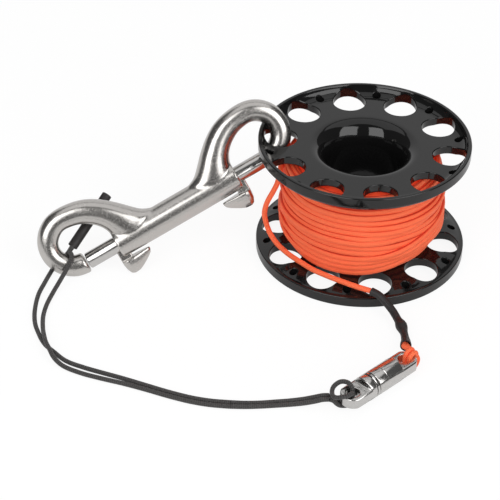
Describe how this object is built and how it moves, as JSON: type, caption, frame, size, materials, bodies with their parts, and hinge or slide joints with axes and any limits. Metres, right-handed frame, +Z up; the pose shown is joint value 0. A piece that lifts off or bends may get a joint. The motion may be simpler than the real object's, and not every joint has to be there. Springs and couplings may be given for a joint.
{
  "type": "finger spool",
  "caption": "Flanged line spool with a finger bore and pierced flanges, wound with line that ends in a swivel and a corded lanyard, and clipped to a sprung double-ended snap hook",
  "frame": {"origin": "on the surface the spool stands on, at the middle of the plan of the spool and the snap hook together", "axes": "+Z up along the spool's own axis, +X along the object from the free end of the snap hook to the spool, +Y away from the swivel"},
  "size_m": [0.1826, 0.1594, 0.0664],
  "materials": {
    "moulding": "glossy black moulded plastic with soft reflections",
    "line": "bright orange braided line",
    "cord": "black braided cord, dull",
    "shrink_sleeve": "black shrink tube, satin",
    "cast_steel": "tumbled and polished stainless steel with a faint cast grain",
    "polished_steel": "mirror-polished stainless steel",
    "spring_steel": "plain drawn spring wire"
  },
  "bodies": {
    "spool": {"spool_half_upper": "moulding", "spool_half_lower": "moulding", "line_core": "line", "line_winding": "line", "line_tail": "line", "line_sleeve": "shrink_sleeve", "line_loop": "line", "swivel_barrel": "polished_steel", "swivel_bush": "polished_steel", "lanyard_lead_a": "cord", "lanyard_lead_b": "cord", "lanyard_strand_a": "cord", "lanyard_strand_b": "cord"},
    "snap": {"snap_body": "cast_steel", "gate_spring_left": "spring_steel", "gate_spring_right": "spring_steel", "lanyard_sleeve": "shrink_sleeve"},
    "gate_left": {"gate_bolt_left": "cast_steel", "thumb_lever_left": "cast_steel"},
    "gate_right": {"gate_bolt_right": "cast_steel", "thumb_lever_right": "cast_steel"},
    "lanyard_eye": {"swivel_eye": "polished_steel", "lanyard_hitch": "cord"}
  },
  "joints": [
    {"name": "snap_swing", "type": "hinge", "parent": "spool", "child": "snap", "pos_m": [0.00485, 0.00679, 0.0515], "axis": [0.1616, 0.9869, 0], "range_deg": [0, 35], "deforming": ["lanyard_strand_a", "lanyard_strand_b"]},
    {"name": "left_gate_slide", "type": "slide", "parent": "snap", "child": "gate_left", "axis": [0.8549, 0.2994, 0.4236], "range_m": [0, 0.012], "stiffness_N_per_m": 350, "springref_m": -0.01, "deforming": ["gate_spring_left"]},
    {"name": "right_gate_slide", "type": "slide", "parent": "snap", "child": "gate_right", "axis": [-0.8549, -0.2994, -0.4236], "range_m": [0, 0.012], "stiffness_N_per_m": 350, "springref_m": -0.01, "deforming": ["gate_spring_right"]},
    {"name": "swivel_turn", "type": "hinge", "parent": "spool", "child": "lanyard_eye", "pos_m": [0.0474, -0.1015, 0.0052], "axis": [0.7071, 0.7071, 0], "continuous": true, "deforming": ["lanyard_lead_a", "lanyard_lead_b"]}
  ]
}
